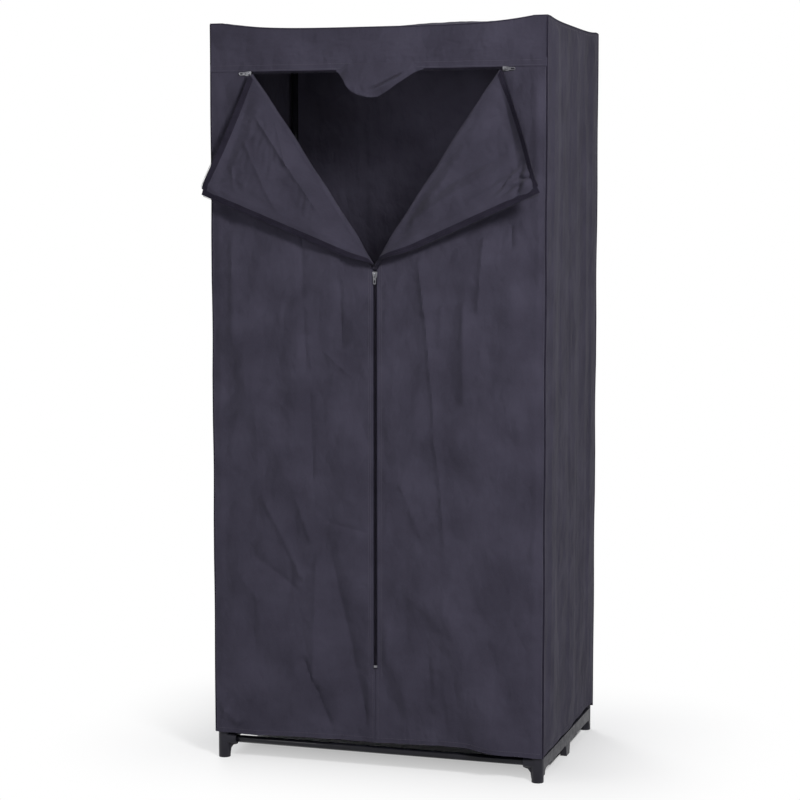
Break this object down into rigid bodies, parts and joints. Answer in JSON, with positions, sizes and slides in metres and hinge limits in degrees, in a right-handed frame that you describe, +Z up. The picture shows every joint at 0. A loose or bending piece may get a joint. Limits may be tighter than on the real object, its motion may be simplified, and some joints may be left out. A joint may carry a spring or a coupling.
{
  "type": "portable fabric wardrobe",
  "caption": "Tube frame in moulded end brackets under a sewn cloth cover; the zipped front has both upper flaps folded open over a hanging rail.",
  "frame": {"origin": "middle of the bounding box, on the floor", "axes": "+Z up, -Y the zipped front, +X to the right seen from the front"},
  "size_m": [0.7508, 0.5691, 1.6],
  "materials": {
    "cloth": "matt non-woven charcoal cloth",
    "zip_tape": "dark woven tape with moulded coil",
    "zip_metal": "plated die casting",
    "moulding": "satin moulded black plastic",
    "tube": "powder-coated black steel tube"
  },
  "bodies": {
    "frame": {"base_end_left": "moulding", "top_end_left": "moulding", "cover_side_left": "cloth", "front_left": "cloth", "centre_zip_left": "zip_tape", "header_zip_left": "zip_tape", "post_lower_front_left": "tube", "post_joiner_front_left": "moulding", "post_upper_front_left": "tube", "post_lower_rear_left": "tube", "post_joiner_rear_left": "moulding", "post_upper_rear_left": "tube", "base_end_right": "moulding", "top_end_right": "moulding", "cover_side_right": "cloth", "front_right": "cloth", "centre_zip_right": "zip_tape", "header_zip_right": "zip_tape", "post_lower_front_right": "tube", "post_joiner_front_right": "moulding", "post_upper_front_right": "tube", "post_lower_rear_right": "tube", "post_joiner_rear_right": "moulding", "post_upper_rear_right": "tube", "base_tube_front": "tube", "base_tube_middle": "tube", "base_tube_rear": "tube", "top_tube_front": "tube", "top_tube_rear": "tube", "hanging_rail": "tube", "cover_top": "cloth", "cover_back": "cloth", "header": "cloth", "header_tongue": "cloth", "zip_bottom_stop": "zip_metal"},
    "flap_left_body": {"flap_left": "cloth", "flap_centre_zip_left": "zip_tape", "flap_top_zip_left": "zip_tape"},
    "flap_right_body": {"flap_right": "cloth", "flap_centre_zip_right": "zip_tape", "flap_top_zip_right": "zip_tape"},
    "centre_slider_body": {"centre_slider": "zip_metal"},
    "centre_pull_body": {"centre_pull": "zip_metal"},
    "header_left_slider_body": {"header_left_slider": "zip_metal"},
    "header_left_pull_body": {"header_left_pull": "zip_metal"},
    "header_right_slider_body": {"header_right_slider": "zip_metal"},
    "header_right_pull_body": {"header_right_pull": "zip_metal"}
  },
  "joints": [
    {"name": "flap_left_fold", "type": "hinge", "parent": "frame", "child": "flap_left_body", "pos_m": [0.00109, -0.22143, 1.078], "axis": [-0.5575, 0, 0.8302], "range_deg": [0, 173], "deforming": ["header_tongue"]},
    {"name": "flap_right_fold", "type": "hinge", "parent": "frame", "child": "flap_right_body", "pos_m": [0.00109, -0.22143, 1.078], "axis": [-0.5575, 0, -0.8302], "range_deg": [0, 166]},
    {"name": "centre_slider_travel", "type": "slide", "parent": "frame", "child": "centre_slider_body", "axis": [0, 0, 1], "range_m": [-0.829, 0.411], "deforming": ["centre_zip_left", "centre_zip_right", "flap_centre_zip_left", "flap_centre_zip_right"]},
    {"name": "header_left_slider_travel", "type": "slide", "parent": "frame", "child": "header_left_slider_body", "axis": [1, 0, 0], "range_m": [0, 0.275], "deforming": ["header_zip_left", "flap_top_zip_left"]},
    {"name": "header_right_slider_travel", "type": "slide", "parent": "frame", "child": "header_right_slider_body", "axis": [-1, 0, 0], "range_m": [0, 0.275], "deforming": ["header_zip_right", "flap_top_zip_right"]},
    {"name": "centre_pull_swing", "type": "hinge", "parent": "centre_slider_body", "child": "centre_pull_body", "pos_m": [0.00109, -0.22013, 1.067], "axis": [1, 0, 0], "range_deg": [-170, 0]},
    {"name": "header_left_pull_swing", "type": "hinge", "parent": "header_left_slider_body", "child": "header_left_pull_body", "pos_m": [-0.28192, -0.22013, 1.492], "axis": [0, 0, -1], "range_deg": [-170, 0]},
    {"name": "header_right_pull_swing", "type": "hinge", "parent": "header_right_slider_body", "child": "header_right_pull_body", "pos_m": [0.28408, -0.22013, 1.492], "axis": [0, 0, 1], "range_deg": [-170, 0]}
  ]
}
